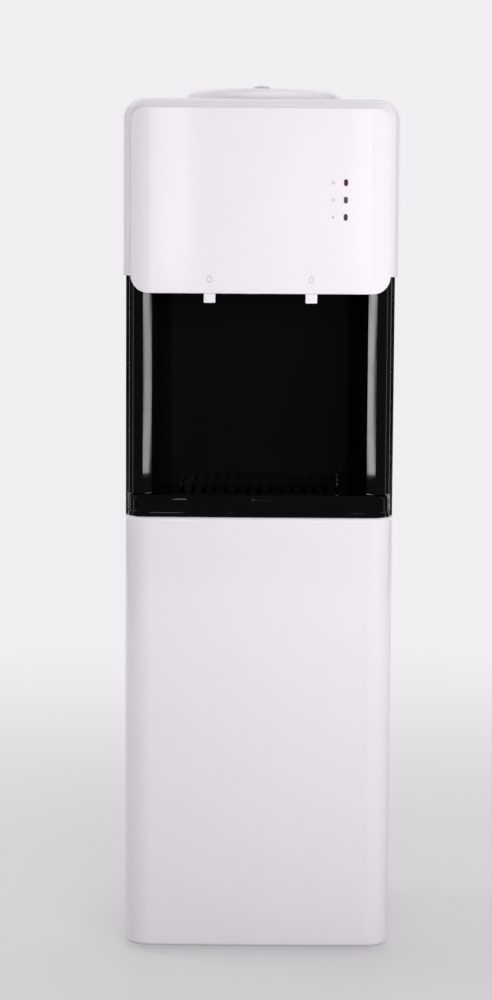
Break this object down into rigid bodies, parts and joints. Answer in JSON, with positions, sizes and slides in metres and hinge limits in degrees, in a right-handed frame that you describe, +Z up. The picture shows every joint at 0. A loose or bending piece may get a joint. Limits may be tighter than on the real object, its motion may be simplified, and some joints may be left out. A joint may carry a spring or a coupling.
{
  "type": "floor-standing water dispenser",
  "caption": "Tall white hot and cold water dispenser with a bottle seat on top, push taps over an open black bay, a pull-out drip tray and a plain lower front.",
  "frame": {"origin": "on the floor, under the middle of the bounding box", "axes": "+Z up, the taps face -Y, +X is to the right of someone facing the front"},
  "size_m": [0.317, 0.33, 1.0136],
  "materials": {
    "white_gloss_abs": "gloss",
    "black_gloss_abs": "gloss",
    "black_satin_plastic": "satin",
    "grey_moulded_plastic": "matte",
    "white_powder_coat": "satin",
    "zinc_sheet": "satin",
    "black_rubber": "matte",
    "clear_silicone": "satin",
    "pale_blue_plastic": "satin",
    "stainless_steel": "satin",
    "zinc_fasteners": "satin",
    "white_foam": "matte",
    "copper_tube": "satin",
    "black_enamel_steel": "satin",
    "black_bracket_plastic": "matte",
    "black_compressor_shell": "satin",
    "heater_mica": "satin",
    "brown_phenolic": "satin",
    "red_lens": "gloss",
    "green_lens": "gloss",
    "blue_lens": "gloss",
    "green_board": "satin"
  },
  "bodies": {
    "cabinet": {"lower_front_panel": "white_gloss_abs", "head_front_panel": "white_gloss_abs", "top_housing": "white_gloss_abs", "bay_liner": "black_gloss_abs", "switch_housings": "black_satin_plastic", "base_tray": "grey_moulded_plastic", "hot_tap_bonnet": "grey_moulded_plastic", "cold_tap_bonnet": "grey_moulded_plastic", "hot_tap_body": "grey_moulded_plastic", "cold_tap_body": "grey_moulded_plastic", "tank_lid": "grey_moulded_plastic", "separator_plate": "grey_moulded_plastic", "drain_pipe": "grey_moulded_plastic", "left_side_panel": "white_powder_coat", "right_side_panel": "white_powder_coat", "rear_panel": "zinc_sheet", "tank_shelf": "zinc_sheet", "hot_tank_bracket": "zinc_sheet", "feet": "black_rubber", "compressor_mounts": "black_rubber", "cord_gland": "black_rubber", "cold_hose": "clear_silicone", "hot_hose": "clear_silicone", "feed_hose": "clear_silicone", "cold_tank": "stainless_steel", "hot_tank": "stainless_steel", "hot_pivot_pin": "stainless_steel", "cold_pivot_pin": "stainless_steel", "rear_screws": "zinc_fasteners", "compressor_bolts": "zinc_fasteners", "cold_tank_foam": "white_foam", "evaporator_coil": "copper_tube", "suction_line": "copper_tube", "discharge_line": "copper_tube", "filter_drier": "copper_tube", "condenser_tube": "black_enamel_steel", "condenser_wires": "black_enamel_steel", "condenser_brackets": "black_bracket_plastic", "compressor": "black_compressor_shell", "heater_band": "heater_mica", "thermostats": "brown_phenolic", "heating_lamp": "red_lens", "power_lamp": "green_lens", "cooling_lamp": "blue_lens", "indicator_board": "green_board"},
    "hot_lever": {"hot_push_lever": "white_gloss_abs"},
    "cold_lever": {"cold_push_lever": "white_gloss_abs"},
    "hot_valve": {"hot_tap_stem": "stainless_steel", "hot_tap_seal": "clear_silicone", "hot_tap_spring": "stainless_steel"},
    "cold_valve": {"cold_tap_stem": "stainless_steel", "cold_tap_seal": "clear_silicone", "cold_tap_spring": "stainless_steel"},
    "tray": {"drip_tray": "black_gloss_abs"},
    "grille": {"drip_grille": "black_satin_plastic"},
    "seat": {"bottle_seat": "white_gloss_abs", "bottle_probe": "pale_blue_plastic"},
    "heat_rocker": {"heat_switch_rocker": "black_satin_plastic"},
    "cool_rocker": {"cool_switch_rocker": "black_satin_plastic"},
    "outlet_cap": {"drain_cap": "black_satin_plastic"}
  },
  "joints": [
    {"name": "hot_lever_push", "type": "hinge", "parent": "cabinet", "child": "hot_lever", "pos_m": [-0.058, -0.152, 0.8257], "axis": [1, 0, 0], "range_deg": [0, 8], "stiffness_Nm_per_rad": 0.8, "springref_deg": -2.86},
    {"name": "hot_valve_lift", "type": "slide", "parent": "cabinet", "child": "hot_valve", "axis": [0, 0, 1], "range_m": [0, 0.0032], "deforming": ["hot_tap_spring"]},
    {"name": "cold_lever_push", "type": "hinge", "parent": "cabinet", "child": "cold_lever", "pos_m": [0.058, -0.152, 0.8257], "axis": [1, 0, 0], "range_deg": [0, 8], "stiffness_Nm_per_rad": 0.8, "springref_deg": -2.86},
    {"name": "cold_valve_lift", "type": "slide", "parent": "cabinet", "child": "cold_valve", "axis": [0, 0, 1], "range_m": [0, 0.0032], "deforming": ["cold_tap_spring"]},
    {"name": "tray_pull", "type": "slide", "parent": "cabinet", "child": "tray", "axis": [0, -1, 0], "range_m": [0, 0.17]},
    {"name": "grille_lift", "type": "slide", "parent": "tray", "child": "grille", "axis": [0, 0, 1], "range_m": [0, 0.1]},
    {"name": "seat_lift", "type": "slide", "parent": "cabinet", "child": "seat", "axis": [0, 0, 1], "range_m": [0, 0.11]},
    {"name": "heat_switch_rock", "type": "hinge", "parent": "cabinet", "child": "heat_rocker", "pos_m": [-0.112, 0.13005, 0.88], "axis": [-1, 0, 0], "range_deg": [0, 22]},
    {"name": "cool_switch_rock", "type": "hinge", "parent": "cabinet", "child": "cool_rocker", "pos_m": [-0.082, 0.13005, 0.88], "axis": [-1, 0, 0], "range_deg": [0, 22]},
    {"name": "drain_cap_pull", "type": "slide", "parent": "cabinet", "child": "outlet_cap", "axis": [0, 1, 0], "range_m": [0, 0.03]}
  ],
  "couplings": [
    {"joint": "hot_valve_lift", "follows": "hot_lever_push", "m_per_rad": 0.022},
    {"joint": "cold_valve_lift", "follows": "cold_lever_push", "m_per_rad": 0.022}
  ]
}
